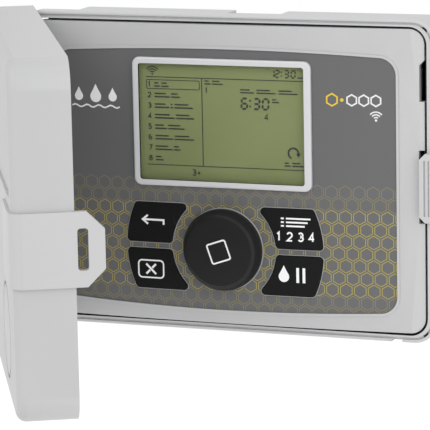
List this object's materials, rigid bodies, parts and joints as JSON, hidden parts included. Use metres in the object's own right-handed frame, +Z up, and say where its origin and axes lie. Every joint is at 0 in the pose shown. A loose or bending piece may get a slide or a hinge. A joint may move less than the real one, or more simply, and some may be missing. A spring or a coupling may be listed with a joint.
{
  "type": "irrigation controller",
  "caption": "Wall-hung irrigation controller: hinged weather door, swing-out panel with display, dial and four buttons over a wiring bay.",
  "frame": {"origin": "middle of the case's flat back face, where it meets the wall", "axes": "+X to the viewer's right, +Z up, -Y out of the wall towards the viewer"},
  "size_m": [0.2548, 0.2717, 0.174],
  "materials": {
    "case_plastic": "fine satin grain, light grey",
    "door_plastic": "fine satin grain, light grey",
    "panel_plastic": "fine satin grain, light grey",
    "label_film": "printed polyester film, dark grey",
    "bezel_plastic": "satin silver grey",
    "clear_window": "clear",
    "display_glass": "olive liquid crystal",
    "white_plastic": "plain white",
    "black_plastic": "satin black",
    "black_rubber": "soft",
    "seal_rubber": "soft foam",
    "board_green": "solder mask",
    "steel": "zinc plated",
    "shield_steel": "tin plated",
    "core_steel": "laminated, varnished",
    "winding_wire": "enamelled wire under tape",
    "terminal_green": "moulded",
    "connector_black": "moulded",
    "brass_plate": "nickel flash",
    "fuse_glass": "clear glass with metal caps",
    "ribbon_grey": "flat cable"
  },
  "bodies": {
    "case": {"case_back": "case_plastic", "case_standoffs": "case_plastic", "case_top": "case_plastic", "case_bottom": "case_plastic", "case_hinge_side": "case_plastic", "case_lock_side": "case_plastic", "knockout_plugs": "case_plastic", "power_inlet_bushing": "black_plastic", "door_hinge_pins": "steel", "terminal_board": "board_green", "terminal_board_screws": "steel", "terminal_strip": "terminal_green", "terminal_screws": "steel", "sensor_jumper": "brass_plate", "board_header": "connector_black", "fuse_holder": "brass_plate", "fuse": "fuse_glass", "ribbon_cable": "ribbon_grey", "transformer_core": "core_steel", "transformer_bobbin": "white_plastic", "transformer_winding": "winding_wire", "transformer_brackets": "steel", "transformer_screws": "steel", "mains_cover": "black_plastic", "mains_cover_screw": "steel", "mains_terminal_block": "white_plastic", "mains_terminal_screws": "steel"},
    "door_body": {"door": "door_plastic", "door_seal": "seal_rubber"},
    "panel": {"panel_frame": "panel_plastic", "panel_hinge_pins": "steel", "overlay_label": "label_film", "lcd_bezel": "bezel_plastic", "lcd_window": "clear_window", "lcd_display": "display_glass", "backlight_holder": "white_plastic", "dial_encoder": "shield_steel", "keypad_mat": "black_rubber", "main_board": "board_green", "board_screws": "steel", "panel_rear_cover": "panel_plastic", "rear_cover_screws": "steel", "wireless_module": "shield_steel", "cell_holder": "connector_black", "coin_cell": "steel", "panel_header": "connector_black"},
    "dial": {"dial_knob": "black_plastic", "encoder_shaft": "black_plastic"},
    "back_button_body": {"back_button": "black_rubber"},
    "clear_button_body": {"clear_button": "black_rubber"},
    "program_button_body": {"program_button": "black_rubber"},
    "rain_delay_button_body": {"rain_delay_button": "black_rubber"}
  },
  "joints": [
    {"name": "door_swing", "type": "hinge", "parent": "case", "child": "door_body", "pos_m": [-0.1134, -0.0544, 0], "axis": [0, 0, -1], "range_deg": [-62, 34]},
    {"name": "panel_swing", "type": "hinge", "parent": "case", "child": "panel", "pos_m": [-0.1054, -0.0622, 0], "axis": [0, 0, -1], "range_deg": [0, 55], "deforming": ["ribbon_cable"]},
    {"name": "dial_turn", "type": "hinge", "parent": "panel", "child": "dial", "pos_m": [0, -0.0682, -0.0395], "axis": [0, -1, 0], "continuous": true},
    {"name": "back_press", "type": "slide", "parent": "panel", "child": "back_button_body", "axis": [0, 1, 0], "range_m": [0, 0.001], "stiffness_N_per_m": 400},
    {"name": "clear_press", "type": "slide", "parent": "panel", "child": "clear_button_body", "axis": [0, 1, 0], "range_m": [0, 0.001], "stiffness_N_per_m": 400},
    {"name": "program_press", "type": "slide", "parent": "panel", "child": "program_button_body", "axis": [0, 1, 0], "range_m": [0, 0.001], "stiffness_N_per_m": 400},
    {"name": "rain_delay_press", "type": "slide", "parent": "panel", "child": "rain_delay_button_body", "axis": [0, 1, 0], "range_m": [0, 0.001], "stiffness_N_per_m": 400}
  ]
}
